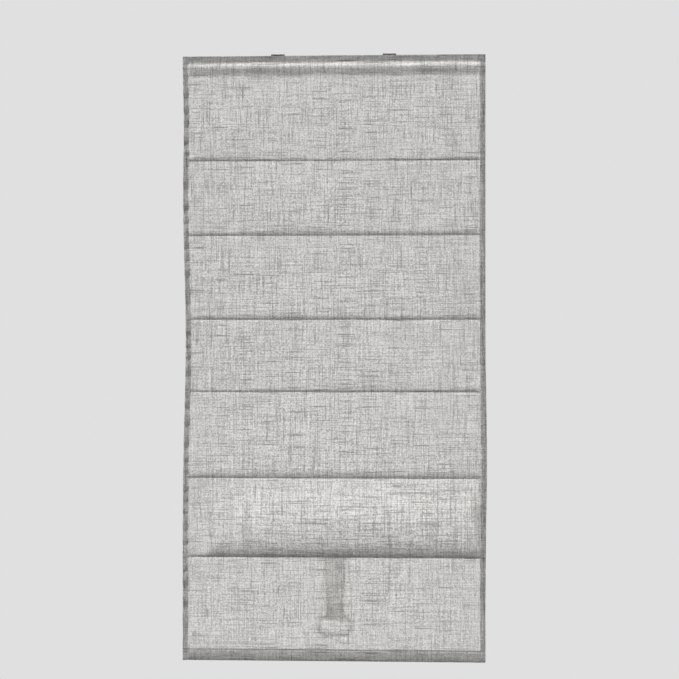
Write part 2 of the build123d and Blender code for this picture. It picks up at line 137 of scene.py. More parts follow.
def dress(finish, *names):
    """Gives CAD nodes their finish."""
    for name in names:
        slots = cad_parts[name].data.materials
        slots.clear()
        slots.append(finish)


rail_paint = worn_finish(
    "rail_paint", dark=(0.70, 0.70, 0.68), light=(0.80, 0.80, 0.78),
    patches=(14, 60, 90), fine=(1100, 1100, 1100), height=0.00006, roughness=0.42)
dress(rail_paint, "head_rail")

# End caps and brackets
# The caps are moulded in white nylon and push into the rail's ends.
# The brackets are folded from dark-plated steel strip and screwed up through their tops.
white_plastic = worn_finish(
    "white_plastic", dark=(0.66, 0.66, 0.63), light=(0.74, 0.74, 0.71),
    patches=(60, 60, 60), fine=(1700, 1700, 1700), height=0.00004, roughness=0.48)
dress(white_plastic, "rail_end_cap_left", "rail_end_cap_right")
bracket_steel = worn_finish(
    "bracket_steel", dark=(0.035, 0.035, 0.036), light=(0.075, 0.075, 0.076),
    patches=(90, 40, 40), fine=(400, 2600, 2600), height=0.00003, roughness=0.5, metallic=0.3)
dress(bracket_steel, "bracket_left", "bracket_right")

# Spring motor
# Four geared drums turn in a moulded tray, under a screwed cover, and a flat steel
# ribbon spring winds from one drum to the other and balances the cloth's weight.
dress(white_plastic, "motor_tray")
cover_plastic = worn_finish(
    "cover_plastic", dark=(0.58, 0.58, 0.57), light=(0.66, 0.66, 0.65),
    patches=(70, 70, 70), fine=(1500, 1500, 1500), height=0.00005, roughness=0.5)
dress(cover_plastic, "motor_cover")
gear_plastic = worn_finish(
    "gear_plastic", dark=(0.62, 0.60, 0.53), light=(0.72, 0.70, 0.63),
    patches=(80, 80, 80), fine=(1300, 1300, 1300), height=0.00003, roughness=0.35)
dress(gear_plastic, "cord_spool_left", "output_drum", "storage_drum", "cord_spool_right")
spring_steel = worn_finish(
    "spring_steel", dark=(0.22, 0.23, 0.26), light=(0.40, 0.41, 0.43),
    patches=(150, 150, 30), fine=(300, 300, 4000), height=0.00002, roughness=0.28, metallic=1.0)
dress(spring_steel, "power_spring")
pin_steel = worn_finish(
    "pin_steel", dark=(0.48, 0.48, 0.47), light=(0.62, 0.62, 0.61),
    patches=(200, 60, 200), fine=(2500, 400, 2500), height=0.00001, roughness=0.22, metallic=1.0)
dress(pin_steel, "motor_screws")

# Cord guides
# Each guide is a moulded saddle clipped through the rail's floor over a lift point.
# A polished steel pin in it turns the cord from along the rail to straight down.
dress(white_plastic, "cord_guide_left", "cord_guide_right")
dress(pin_steel, "guide_pin_left", "guide_pin_right")

# Lift cords
# Braided polyester, 1.4 mm thick, always kept taut by the spring: from its drum along
# the rail, over the guide pin and down through the rings to the bead under the last rod.


def measured(value):
    """A length worked out from the frame, in metres, to a hundredth of a millimetre."""
    return round(value, 5)


cord_low, cord_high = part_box("lift_cord_right")
cord_radius, cord_bend = 0.0007, 0.0084
spool_x, drop_x = measured(cord_low.x), measured(cord_high.x - cord_radius)
cord_y = measured((cord_low.y + cord_high.y) / 2)
rail_level, cord_end = measured(cord_high.z - cord_radius), measured(cord_low.z)
rail_bottom = measured(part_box("head_rail")[0].z)
cord_line_steps, cord_facets = 16, 2
braid_dark, braid_light = (0.55, 0.55, 0.53), (0.74, 0.74, 0.72)
braid_scale, braid_wobble, braid_height = 260.0, 1.5, 0.00012
braid_roughness, braid_sheen = 0.8, 0.3

cord_braid, braid_shader = start_finish("cord_braid", braid_roughness)
braid_shader.inputs["Sheen Weight"].default_value = braid_sheen
strands = on_piece(cord_braid, "ShaderNodeTexWave")
strands.bands_direction = "DIAGONAL"
strands.inputs["Scale"].default_value = braid_scale
strands.inputs["Distortion"].default_value = braid_wobble
paint(cord_braid, braid_shader, strands.outputs["Fac"], (0.2, braid_dark), (0.8, braid_light))
relief(cord_braid, braid_shader, strands.outputs["Fac"], braid_height)


def place_piece(name, mesh, finish, body):
    """Puts a finished mesh in the scene as a piece that moves with a CAD body."""
    piece = bpy.data.objects.new(name, mesh)
    mesh.materials.clear()
    mesh.materials.append(finish)
    bpy.context.scene.collection.objects.link(piece)
    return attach(piece, body)


def shade_smooth(mesh):
    """Shades every face of a mesh smooth."""
    for face in mesh.polygons:
        face.use_smooth = True


def mesh_of(line):
    """The mesh that a curve makes."""
    holder = bpy.data.objects.new(line.name + "_line", line)
    mesh = bpy.data.meshes.new_from_object(holder)
    bpy.data.objects.remove(holder)
    mesh.name = line.name
    shade_smooth(mesh)
    return mesh


def lay_cord(name, route):
    """A tube along a smooth line through the route, and the points of that line."""
    line = bpy.data.curves.new(name, "CURVE")
    line.dimensions = "3D"
    line.resolution_u = cord_line_steps
    spline = line.splines.new("NURBS")
    spline.points.add(len(route) - 1)
    for point, place in zip(spline.points, route):
        point.co = (*place, 1)
    spline.order_u = 3
    spline.use_endpoint_u = True
    bare = mesh_of(line)
    path = [vertex.co.copy() for vertex in bare.vertices]
    bpy.data.meshes.remove(bare)
    line.bevel_depth = cord_radius
    line.bevel_resolution = cord_facets
    line.use_fill_caps = True
    return mesh_of(line), path


def string_cord(name, node, route):
    """One stretch of a lift cord along its route, in place of the CAD cord."""
    tube, path = lay_cord(name, route)
    cord = place_piece(name, tube, cord_braid, "head")
    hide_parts(node)
    return cord


def gather(piece):
    """Gives a soft piece a mesh of its own."""
    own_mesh(piece)


for side, hand in ((-1, "left"), (1, "right")):
    node = f"lift_cord_{hand}"
    rail_route = (
        (side * spool_x, cord_y, rail_level),
        (side * (drop_x - cord_bend), cord_y, rail_level),
        (side * drop_x, cord_y, rail_level),
        (side * drop_x, cord_y, rail_level - cord_bend),
        (side * drop_x, cord_y, rail_bottom))
    drop_route = (
        (side * drop_x, cord_y, rail_bottom),
        (side * drop_x, cord_y, (rail_bottom + cord_end) / 2),
        (side * drop_x, cord_y, cord_end))
    string_cord(f"{node}_rail_run", node, rail_route)
    gather(string_cord(f"{node}_drop", node, drop_route))

# Hook tape
# The hook half of a sew-and-stick tape, woven in white nylon and stuck along the rail's
# front. The loop half is sewn inside the cloth's top hem and presses onto it.
# The spaces between the hooks are painted darker than the white hook tips: painted shade in the gaps.
hook_tip, hook_gap_shade = (0.72, 0.72, 0.70), (0.48, 0.48, 0.47)
hook_scale, hook_height, hook_roughness = 700.0, 0.0004, 0.7
hook_tape_finish, hook_shader = start_finish("hook_tape_finish", hook_roughness)
hooks = on_piece(hook_tape_finish, "ShaderNodeTexVoronoi")
hooks.inputs["Scale"].default_value = hook_scale
paint(hook_tape_finish, hook_shader, hooks.outputs["Distance"], (0.1, hook_tip), (0.6, hook_gap_shade))
relief(hook_tape_finish, hook_shader, hooks.outputs["Distance"], hook_height)
dress(hook_tape_finish, "hook_tape")

# Cloth
# One sheet of slubby linen, pale grey and thin enough to let light through, with
# side hems turned twice, a top hem on the tape, and a pocket along its bottom edge.
cloth_low, cloth_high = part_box("fabric_panel")
half_width = measured(cloth_high.x)
cloth_top, cloth_bottom = measured(cloth_high.z), measured(cloth_low.z)
hem_on_tape = 0.0020
cloth_front = measured(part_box("hook_tape")[0].y - hem_on_tape)
cloth_thickness = 0.0004
rod_boxes = [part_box(f"rod_{count}") for count in range(1, 7)]
seam_levels = [(low.z + high.z) / 2 for low, high in rod_boxes]

# The weave's colours, from its thickest slubs to its thinnest threads, in light from the
# front and in light from behind.
linen_shades = ((0.08, (0.24, 0.237, 0.231)), (0.42, (0.46, 0.456, 0.447)),
                (0.60, (0.54, 0.536, 0.527)), (0.95, (0.68, 0.676, 0.666)))
linen_glows = ((0.08, (0.58, 0.576, 0.566)), (0.42, (0.815, 0.81, 0.80)),
               (0.60, (0.88, 0.876, 0.866)), (0.95, (0.95, 0.946, 0.936)))
linen_see_through = 0.60
linen_roughness, linen_sheen, linen_gloss = 0.92, 0.15, 0.15

# Waves to the metre along, across and through the threads, and how strong each layer is.
thread_layers = ((13, 560, 1.2), (170, 800, 1.8), (320, 1500, 0.8))
through_cloth, thread_detail = 8, 1.0
warp_stretch, warp_strength = 1.2, 1.1
slub_along, slub_across, slub_detail = 15, 560, 0.0
slub_shade, slub_start, slub_end = 0.1, 0.24, 0.31
weave_start, weave_end, weave_height = 2.35, 3.65, 0.0003


def blend_values(finish, kind, first, second):
    """Two values made one, by this kind of sum."""
    mix = finish.node_tree.nodes.new("ShaderNodeMath")
    mix.operation = kind
    finish.node_tree.links.new(first, mix.inputs[0])
    finish.node_tree.links.new(second, mix.inputs[1])
    return mix.outputs["Value"]


def weigh(finish, value, weight):
    """The same value, nearer to the middle or further from it."""
    middle, swing = 0.5, 0.4
    return spread(finish, value, middle - swing * weight, middle + swing * weight,
                  middle - swing, middle + swing)


def see_through(finish, shader, colour, share):
    """Lets a share of the light pass through, in one colour or in a pattern's colours."""
    tree = finish.node_tree
    glow = tree.nodes.new("ShaderNodeBsdfTranslucent")
    if isinstance(colour, tuple):
        glow.inputs["Color"].default_value = (*colour, 1)
    else:
        tree.links.new(colour, glow.inputs["Color"])
    mix = tree.nodes.new("ShaderNodeMixShader")
    mix.inputs["Fac"].default_value = share
    tree.links.new(shader.outputs["BSDF"], mix.inputs[1])
    tree.links.new(glow.outputs["BSDF"], mix.inputs[2])
    tree.links.new(mix.outputs["Shader"], tree.nodes["Material Output"].inputs["Surface"])


linen, linen_shader = start_finish("linen", linen_roughness)
linen_shader.inputs["Sheen Weight"].default_value = linen_sheen
linen_shader.inputs["Specular IOR Level"].default_value = linen_gloss
threads = None
for along_thread, across_threads, strength in thread_layers:
    weft_grain = grain(linen, (along_thread, through_cloth, across_threads), thread_detail)
    weft = weigh(linen, weft_grain, strength)
    warp_grain = grain(linen, (across_threads, through_cloth, along_thread * warp_stretch), thread_detail)
    warp = weigh(linen, warp_grain, strength * warp_strength)
    crossing = blend_values(linen, "ADD", weft, warp)
    threads = blend_values(linen, "ADD", threads, crossing) if threads else crossing
slub_weft = grain(linen, (slub_along, through_cloth, slub_across), slub_detail)
thick_weft = spread(linen, slub_weft, slub_shade, 1.0, slub_start, slub_end)
slub_warp = grain(linen, (slub_across, through_cloth, slub_along), slub_detail)
thick_warp = spread(linen, slub_warp, slub_shade, 1.0, slub_start, slub_end)
slubs = blend_values(linen, "MULTIPLY", thick_weft, thick_warp)
even_weave = spread(linen, threads, 0.0, 1.0, weave_start, weave_end)
weave = blend_values(linen, "MULTIPLY", even_weave, slubs)
paint(linen, linen_shader, weave, *linen_shades)
relief(linen, linen_shader, weave, weave_height)
see_through(linen, linen_shader, shades(linen, weave, *linen_glows), linen_see_through)


def ease(share):
    """A share from 0 to 1 that starts and ends gently."""
    share = min(max(share, 0.0), 1.0)
    return share * share * (3.0 - 2.0 * share)


def bell(distance, width):
    """A share that is 1 at no distance and dies away over this width."""
    return math.exp(-(distance / width) ** 2)


def along(stops, x):
    """The share at x, eased from each stop to the next."""
    if x <= stops[0][0]:
        return stops[0][1]
    for (x_a, share_a), (x_b, share_b) in zip(stops, stops[1:]):
        if x <= x_b:
            return share_a + (share_b - share_a) * ease((x - x_a) / (x_b - x_a))
    return stops[-1][1]


# The cloth rolls forward under the rail, and its folds and seams flatten at the side hems.
roll_start, roll_reach, roll_rise, roll_fall = 0.003, 0.013, 0.008, 0.028
roll_wobble, roll_waves, roll_seed = 0.35, 8.0, (3.1, 0.2)
flat_from, flat_over, flat_share = 0.376, 0.020, 0.85


def fullness(x):
    """How full the folds are at x."""
    return 1.0 - flat_share * ease((abs(x) - flat_from) / flat_over)


def header_roll(x, z):
    """How far the cloth rolls forward at a point under the rail."""
    below = rail_bottom - roll_start - z
    roll = roll_reach * (1.0 + roll_wobble * noise.noise((x * roll_waves, *roll_seed))) * fullness(x)
    if 0.0 < below < roll_rise:
        return roll * ease(below / roll_rise)
    if below >= roll_rise:
        return roll * ease((roll_rise + roll_fall - below) / roll_fall)
    return 0.0


# The folds over the seams, from the top one down: how far each stands forward, how high
# its lip is over the seam, how its underside bends and softens, and how full it is from
# left to right. Wobbles are a share, waves to the metre, a step from fold to fold, a seed.
fold_reaches = (0.0034, 0.0034, 0.0033, 0.0024, 0.0056, 0.0185)
fold_lips = (0.0145, 0.0150, 0.0145, 0.0115, 0.0220, 0.0800)
fold_bends = (1.0, 1.0, 1.0, 1.0, 1.1, 3.2)
fold_softness = (0.5, 0.5, 0.5, 0.5, 0.4, 0.0)
fold_slack = (
    ((-0.387, 1.0), (-0.301, 0.95), (-0.213, 0.35), (-0.09, 0.15), (0.177, 0.2), (0.257, 0.35),
     (0.37, 0.75)),
    ((-0.39, 0.55), (-0.27, 0.7), (-0.25, 0.95), (0.0, 1.0), (0.2, 0.9), (0.4, 1.0)),
    ((-0.39, 0.8), (-0.15, 1.0), (0.0, 0.8), (0.15, 0.6), (0.25, 0.8), (0.4, 1.15)),
    ((-0.39, 0.1), (-0.27, 0.15), (-0.2, 0.7), (0.1, 0.7), (0.3, 0.9), (0.4, 1.0)),
    ((-0.39, 0.8), (-0.1, 1.0), (0.2, 0.9), (0.4, 0.8)),
    ((-0.39, 0.03), (-0.36, 0.08), (-0.338, 0.25), (-0.318, 0.95), (-0.2, 1.12), (0.3, 1.15),
     (0.385, 1.0), (0.402, 0.4)))
fold_wobbles = ((0.16, 9.0, 7.3, 0.5), (0.10, 31.0, 5.1, 2.5))
fold_swell, least_fold = 0.6, 0.02
seam_pull, seam_pull_above, seam_pull_below = 0.0010, 0.012, 0.006
seam_reach, seam_calm = 0.05, 0.03
panel_tops = (rail_bottom - roll_start - roll_rise - roll_fall, *seam_levels)


def fold_forward(height, panel, lip, reach, bend, softness):
    """How far a fold stands forward, at this height over its seam in a panel so high."""
    if height < 0.0 or height >= panel:
        return 0.0
    if height > lip:
        down = (panel - height) / (panel - lip)
        return reach * down * (fold_swell + down * (2.0 - fold_swell - down))
    share = height / lip
    share += softness * (ease(share) - share)
    return reach * (1.0 - (1.0 - share) ** bend)


def seam_forms(x, z):
    """How far folds and pulled seams move a point forward, and how free it is to wave."""
    forward, calm = 0.0, 1.0
    full = fullness(x)
    for count, level in enumerate(seam_levels):
        height = z - level
        panel = panel_tops[count] - level
        if -seam_reach < height < panel:
            uneven = sum(share * noise.noise((x * waves, count * step, seed))
                         for share, waves, step, seed in fold_wobbles)
            size = max(full * along(fold_slack[count], x) * (1.0 + uneven), least_fold)
            forward += fold_forward(height, panel, fold_lips[count] * size, fold_reaches[count] * size,
                                    fold_bends[count], fold_softness[count])
            pulled_over = seam_pull_above if height > 0.0 else seam_pull_below
            forward -= full * seam_pull * math.exp(-abs(height) / pulled_over)
            calm = min(calm, ease(abs(height) / seam_calm))
    return forward, calm


# Broad waves all over, creases towards the sides and puckers along the side hems. Waves
# are a size, waves to the metre along X and Z, and a seed.
wave_layers = ((0.0016, 2.6, 2.1, 1.7), (0.0007, 9.0, 6.0, 4.1))
crease_size, crease_from, crease_over, crease_seed = 0.0012, 0.33, 0.07, 8.3
crease_across, crease_along = (26.0, 20.0), (-9.0, 15.0)
left_pucker, right_pucker = 0.0022, 0.0011
pucker_from, pucker_over, pucker_top, pucker_fade = 0.386, 0.008, -0.06, 0.05
pucker_waves, pucker_slant = 150.0, 0.9
pucker_wander, wander_waves, wander_seed = 6.0, 11.0, 2.0


def looseness(x, z):
    """How far waves, creases and puckers move a point forward."""
    waves = sum(size * noise.noise((x * wide, z * high, seed)) for size, wide, high, seed in wave_layers)
    crease_place = (x * crease_across[0] + z * crease_across[1],
                    x * crease_along[0] + z * crease_along[1], crease_seed)
    creases = crease_size * ease((abs(x) - crease_from) / crease_over) * noise.noise(crease_place)
    pucker = left_pucker if x < 0 else right_pucker
    pucker *= ease((abs(x) - pucker_from) / pucker_over) * ease((pucker_top - z) / pucker_fade)
    wander = pucker_wander * noise.noise((z * wander_waves, x, wander_seed))
    return waves + creases + pucker * math.sin(pucker_waves * (z + pucker_slant * abs(x)) + wander)


# The side edges lean to the right: how far, at which level and over what height.
left_leans = ((0.0082, -0.768, 0.26), (0.0028, -0.2, 0.12))
right_leans = ((0.0042, -1.09, 0.2),)
lean_from = 0.2


def side_lean(x, z):
    """How far a point leans to the right."""
    leans = left_leans if x < 0 else right_leans
    lean = sum(size * bell(z - level, height) for size, level, height in leans)
    return lean * ease((abs(x) - lean_from) / (half_width - lean_from))


# The bottom hem swells a little, dips at its stitched line and rolls back at its edge.
hem_height = 0.0285
hem_line, hem_line_dip, hem_line_width = cloth_bottom + hem_height, 0.0016, 0.0016
hem_bulge, hem_roll, hem_roll_height = 0.0014, 0.0022, 0.005
rail_hold = 0.05


def bottom_hem(z):
    """How far the bottom hem's form moves a point forward."""
    forward = 0.0
    if z < hem_line:
        forward = hem_bulge * math.sin(math.pi * (z - cloth_bottom) / (hem_line - cloth_bottom))
    forward -= hem_roll * max(0.0, 1.0 - (z - cloth_bottom) / hem_roll_height) ** 2
    return forward - hem_line_dip * bell(z - hem_line, hem_line_width)


def hang(x, z):
    """Where a point of the flat cloth hangs: its folds, pulled seams, waves and side edges."""
    forward, calm = seam_forms(x, z)
    free = ease((rail_bottom - roll_start - z) / rail_hold)
    forward += header_roll(x, z) + free * calm * looseness(x, z) + bottom_hem(z)
    return Vector((x + side_lean(x, z), cloth_front - forward, z))


# Rows of the mesh lie close together over the seams, under the rail and at the edges.
columns, row_step, row_gap = 100, 0.009, 0.003
edge_rows = (0.0005, 0.0012, 0.002, 0.003)
hem_line_rows = (-0.004, -0.0024, -0.0016, -0.0008, 0.0, 0.0008, 0.0016, 0.0024, 0.004)
roll_rows = (0.0015, 0.003, 0.0045, 0.006, 0.007, 0.008, 0.0095, 0.0115, 0.014, 0.0165, 0.019, 0.0215,
             0.024, 0.0265, 0.029, 0.032, 0.035, 0.038)
seam_rows = (0.054, 0.046, 0.038, 0.032, 0.027, 0.023, 0.019, 0.016, 0.0135, 0.011, 0.009, 0.007,
             0.0055, 0.004, 0.0028, 0.0018, 0.001, 0.0004, 0.0, -0.0004, -0.001, -0.002, -0.0035,
             -0.0055, -0.008, -0.012, -0.017)


def cut_rows(top, bottom):
    """The levels of the rows of a cloth mesh, from one level down to another."""
    steps = round((top - bottom) / row_step)
    rows = [top + (bottom - top) * i / steps for i in range(steps + 1)]
    fine = [top - d for d in edge_rows] + [bottom + d for d in edge_rows]
    fine += [level + d for level in seam_levels for d in seam_rows]
    fine += [rail_bottom - roll_start - d for d in roll_rows]
    fine += [hem_line + d for d in hem_line_rows]
    fine = [z for z in fine if bottom < z < top]
    coarse = [z for z in rows[1:-1] if all(abs(z - f) > row_gap for f in fine)]
    return sorted({top, bottom, *coarse, *fine}, reverse=True)


def weave_sheet(top, bottom):
    """A bmesh of the cloth from one level down to another, and its loose edges by side."""
    rows = cut_rows(top, bottom)
    sheet = bmesh.new()
    bmesh.ops.create_grid(sheet, x_segments=columns, y_segments=len(rows) - 1, size=1.0)
    sides = {"left": [], "right": [], "top": [], "bottom": []}
    rim = 0.9999
    for edge in sheet.edges:
        a, b = (vertex.co for vertex in edge.verts)
        if max(a.x, b.x) < -rim:
            sides["left"].append(edge)
        if min(a.x, b.x) > rim:
            sides["right"].append(edge)
        if max(a.y, b.y) < -rim:
            sides["bottom"].append(edge)
        if min(a.y, b.y) > rim:
            sides["top"].append(edge)
    for vertex in sheet.verts:
        row = round((1.0 - vertex.co.y) / 2.0 * (len(rows) - 1))
        vertex.co = hang(vertex.co.x * half_width, rows[row])
    bmesh.ops.recalc_face_normals(sheet, faces=sheet.faces)
    if sum(face.normal.y for face in sheet.faces) > 0:
        bmesh.ops.reverse_faces(sheet, faces=sheet.faces)
    return sheet, sides


def draw_out(shape, edges, *moves):
    """Extrudes edges, one move after another, and gives the last ones."""
    for move in moves:
        made = bmesh.ops.extrude_edge_only(shape, edges=edges)["geom"]
        ends = [item for item in made if isinstance(item, bmesh.types.BMVert)]
        bmesh.ops.translate(shape, vec=move, verts=ends)
        edges = [item for item in made if isinstance(item, bmesh.types.BMEdge)
                 and all(vertex in ends for vertex in item.verts)]
    return edges


# Each turn of a hem bends round one layer. The pocket's moves go back and up by so much.
hem_bend, hem_layer = 0.0003, 0.0004
side_hem, side_hem_tuck, top_hem = 0.0135, 0.0120, 0.0168
pocket_moves = ((0.0008, -0.0006), (0.002, -0.0004), (0.002, 0.0004), (0.0008, 0.0016), (0.0, 0.024),
                (-0.0022, 0.0026), (-0.0024, 0.0014))


def turn_side_hems(sheet, sides):
    """Turns both side edges to the back, twice."""
    for side, edges in ((-1, sides["left"]), (1, sides["right"])):
        draw_out(sheet, edges,
                 (side * hem_bend, hem_layer, 0), (-side * hem_bend, hem_layer, 0),
                 (-side * side_hem, 0, 0),
                 (-side * hem_layer, hem_bend, 0), (side * hem_layer, hem_bend, 0),
                 (side * side_hem_tuck, 0, 0))


def make_mesh(name, shape):
    """The finished mesh of a bmesh, shaded smooth."""
    mesh = bpy.data.meshes.new(name)
    shape.to_mesh(mesh)
    shape.free()
    shade_smooth(mesh)
    return mesh


def finish_cloth(name, sheet, body):
    """Makes a cloth piece of a bmesh: a thin shell, in place of the CAD cloth."""
    cloth = place_piece(name, make_mesh(name, sheet), linen, body)
    shell = cloth.modifiers.new("thickness", "SOLIDIFY")
    shell.thickness = cloth_thickness
    shell.offset = -1.0
    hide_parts("fabric_panel")
    return cloth


sheet, sides = weave_sheet(cloth_top, rail_bottom)
draw_out(sheet, sides["top"], (0, hem_layer, hem_bend), (0, hem_layer, -hem_bend), (0, 0, -top_hem))
turn_side_hems(sheet, sides)
finish_cloth("cloth_header", sheet, "head")

sheet, sides = weave_sheet(rail_bottom, seam_levels[-1])
turn_side_hems(sheet, sides)
gather(finish_cloth("cloth_folds", sheet, "head"))

sheet, sides = weave_sheet(seam_levels[-1], cloth_bottom)
turn_side_hems(sheet, sides)
draw_out(sheet, sides["bottom"], *((0, back, up) for back, up in pocket_moves))
finish_cloth("cloth_drop", sheet, "lift")

# Stitches of polyester thread. Each thins to its ends: shares of its length and girth.
stitch_length, stitch_step, thread_radius = 0.0030, 0.0044, 0.00028
stitch_shape = ((0.0, 0.45), (0.2, 1.0), (0.8, 1.0), (1.0, 0.45))
side_stitch_inset = 0.0118
side_stitch_x = half_width - side_stitch_inset
hem_back = -0.0218
thread = worn_finish(
    "thread", dark=(0.42, 0.42, 0.415), light=(0.52, 0.52, 0.515),
    patches=(250, 250, 250), fine=(2600, 2600, 2600), height=0.00003, roughness=0.8)


def stitch_row(length, place):
    """The two ends of each stitch in a row; place gives the point that lies so far along it."""
    starts = [i * stitch_step for i in range(int(length / stitch_step))]
    return [(place(start), place(start + stitch_length)) for start in starts]


def straight_row(start, end):
    """A row of stitches straight from one point to another."""
    length = (end - start).length
    return stitch_row(length, lambda run: start.lerp(end, run / length))


def side_stitches(top, bottom):
    """Both side hems' rows of stitches, from one level down to another."""
    left = stitch_row(top - bottom, lambda run: hang(-side_stitch_x, top - run))
    right = stitch_row(top - bottom, lambda run: hang(side_stitch_x, top - run))
    return left + right


def cross_stitches(half_length, level):
    """A row of stitches across the cloth at a level."""
    return stitch_row(2 * half_length, lambda run: hang(run - half_length, level))


def sew(name, stitches, body):
    """One piece of stitches, each a short length of thread."""
    line = bpy.data.curves.new(name, "CURVE")
    line.dimensions = "3D"
    line.bevel_depth = thread_radius
    line.bevel_resolution = 1
    line.use_fill_caps = True
    for start, end in stitches:
        spline = line.splines.new("POLY")
        spline.points.add(len(stitch_shape) - 1)
        for point, (share, girth) in zip(spline.points, stitch_shape):
            point.co = (*start.lerp(end, share), 1)
            point.radius = girth
    piece = place_piece(name, mesh_of(line), thread, body)
    return piece


sew("header_stitches", side_stitches(cloth_top, rail_bottom), "head")
fold_rows = side_stitches(rail_bottom, seam_levels[-1])
for level in seam_levels[:-1]:
    fold_rows += cross_stitches(side_stitch_x, level)
gather(sew("fold_stitches", fold_rows, "head"))
drop_rows = side_stitches(seam_levels[-1], hem_line)
drop_rows += cross_stitches(half_width, hem_line)
hem_row_start = Vector((-half_width, hem_back, hem_line))
hem_row_end = Vector((half_width, hem_back, hem_line))
drop_rows += straight_row(hem_row_start, hem_row_end)
drop_rows += cross_stitches(side_stitch_x, seam_levels[-1])
sew("drop_stitches", drop_rows, "lift")

# Rod tunnels and rods
# A pinch of the cloth is stitched along each seam into a tunnel at the back.
# A pultruded fibreglass rod slides into it and keeps the seam straight.
rod_low, rod_high = rod_boxes[0]
rod_y = measured((rod_low.y + rod_high.y) / 2)
tunnel_overrun = 0.006
tunnel_radius, tunnel_half_length = 0.0020, measured(rod_high.x + tunnel_overrun)
tunnel_sides, tunnel_steps = 24, 60
tunnel_step = 2 * tunnel_half_length / tunnel_steps
wrinkle_size, wrinkles_along, wrinkles_round, wrinkle_shift = 0.0004, 40.0, 200.0, 3.0

# Three turns of thread tie each ring on: where they lie side by side, and their points back and up.
tie_shifts = (-0.001, 0.0, 0.001)
tie_points = ((-0.0004, -0.0012), (0.0010, 0.0), (-0.0004, 0.0012))

# The five upper rods rise each on its own, and the lowest one is part of the lift.
seam_bodies = ("rod_1", "rod_2", "rod_3", "rod_4", "rod_5", "lift")
facing_right = Matrix.Rotation(math.pi / 2, 4, "Y")

for count, (level, body) in enumerate(zip(seam_levels, seam_bodies), 1):
    tunnel = bmesh.new()
    tunnel_end = Matrix.Translation((-tunnel_half_length, rod_y, level)) @ facing_right
    ring = bmesh.ops.create_circle(tunnel, segments=tunnel_sides, radius=tunnel_radius,
                                   matrix=tunnel_end)["verts"]
    front = min(ring, key=lambda vertex: vertex.co.y)
    front.co.y = cloth_front + seam_pull + cloth_thickness
    draw_out(tunnel, list(tunnel.edges), *[(tunnel_step, 0, 0)] * tunnel_steps)
    for vertex in tunnel.verts:
        if vertex.co.y > rod_y:
            wrinkle = (vertex.co.x * wrinkles_along, vertex.co.z * wrinkles_round, count * wrinkle_shift)
            vertex.co.y += wrinkle_size * noise.noise(wrinkle)
    bmesh.ops.recalc_face_normals(tunnel, faces=tunnel.faces)
    finish_cloth(f"rod_tunnel_{count}", tunnel, body)
    ties = []
    for tie_x in [side * drop_x + shift for side in (-1, 1) for shift in tie_shifts]:
        low, out, high = [Vector((tie_x, rod_y + tunnel_radius + reach, level + rise))
                          for reach, rise in tie_points]
        ties += [(low, out), (out, high)]
    sew(f"ring_ties_{count}", ties, body)
rod_fibreglass = worn_finish(
    "rod_fibreglass", dark=(0.62, 0.62, 0.56), light=(0.72, 0.72, 0.66),
    patches=(12, 900, 900), fine=(60, 3000, 3000), height=0.00004, roughness=0.35)
dress(rod_fibreglass, "rod_1", "rod_2", "rod_3", "rod_4", "rod_5", "rod_6")

# Cord rings and stops
# Two small moulded rings are sewn to the back of each tunnel and the cords run through them.
# A bead on each cord's end, with a knot inside it, holds it under the lowest ring.
ring_radius, ring_bar = 0.0042, 0.0008
ring_facets, ring_steps = 10, 32
facing_front = Matrix.Rotation(math.pi / 2, 4, "X")
ring_plastic = worn_finish(
    "ring_plastic", dark=(0.60, 0.60, 0.58), light=(0.68, 0.68, 0.66),
    patches=(150, 150, 150), fine=(1800, 1800, 1800), height=0.00002, roughness=0.3)
for count, (level, body) in enumerate(zip(seam_levels, seam_bodies), 1):
    rings = bmesh.new()
    for side in (-1, 1):
        centre = Vector((side * drop_x, cord_y, level))
        bar_start = Matrix.Translation(centre + Vector((ring_radius, 0, 0))) @ facing_front
        bar = bmesh.ops.create_circle(rings, segments=ring_facets, radius=ring_bar,
                                      matrix=bar_start)["verts"]
        bar_edges = {edge for vertex in bar for edge in vertex.link_edges}
        bmesh.ops.spin(rings, geom=[*bar, *bar_edges], cent=centre, axis=(0, 0, 1),
                       angle=2 * math.pi, steps=ring_steps, use_merge=True)
    bmesh.ops.recalc_face_normals(rings, faces=rings.faces)
    name = f"sewn_rings_{count}"
    piece = place_piece(name, make_mesh(name, rings), ring_plastic, body)
    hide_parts(f"cord_rings_{count}")
dress(ring_plastic, "cord_stops")

# Bottom bar
# A flat strip of extruded aluminium that weighs the cloth and keeps its edge straight.
# It lies loose in the pocket of the bottom hem.
bar_aluminium = worn_finish(
    "bar_aluminium", dark=(0.50, 0.50, 0.51), light=(0.64, 0.64, 0.65),
    patches=(10, 300, 300), fine=(20, 2500, 2500), height=0.00003, roughness=0.35, metallic=1.0)
dress(bar_aluminium, "bottom_bar")

# Pull strap
# White polyester webbing, sewn into the last seam behind the cloth, tapering down to
# the pull ring; its end goes round the ring's bar and is stitched up against its back.
strap_low, strap_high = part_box("pull_strap")
ring_low, ring_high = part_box("pull_ring")
pull_bar = 0.004
ring_bar_y, ring_bar_z = (ring_low.y + ring_high.y) / 2, ring_high.z - pull_bar
strap_centre = (strap_low.x + strap_high.x) / 2
strap_half_top, strap_half = strap_high.x - strap_centre, 0.024
strap_layer, webbing_thickness = 0.0012, 0.0009
strap_front, strap_top = strap_low.y + strap_layer / 2, strap_high.z
strap_tail = 0.044
strap_taper_end = ring_bar_z + strap_tail
strap_loop, loop_turn = 0.00525, math.radians(285)
tail_start, tail_lift, tail_settles = 0.0035, 0.0015, 0.008
strap_columns, drop_steps, loop_steps, tail_steps = 20, 40, 24, 14

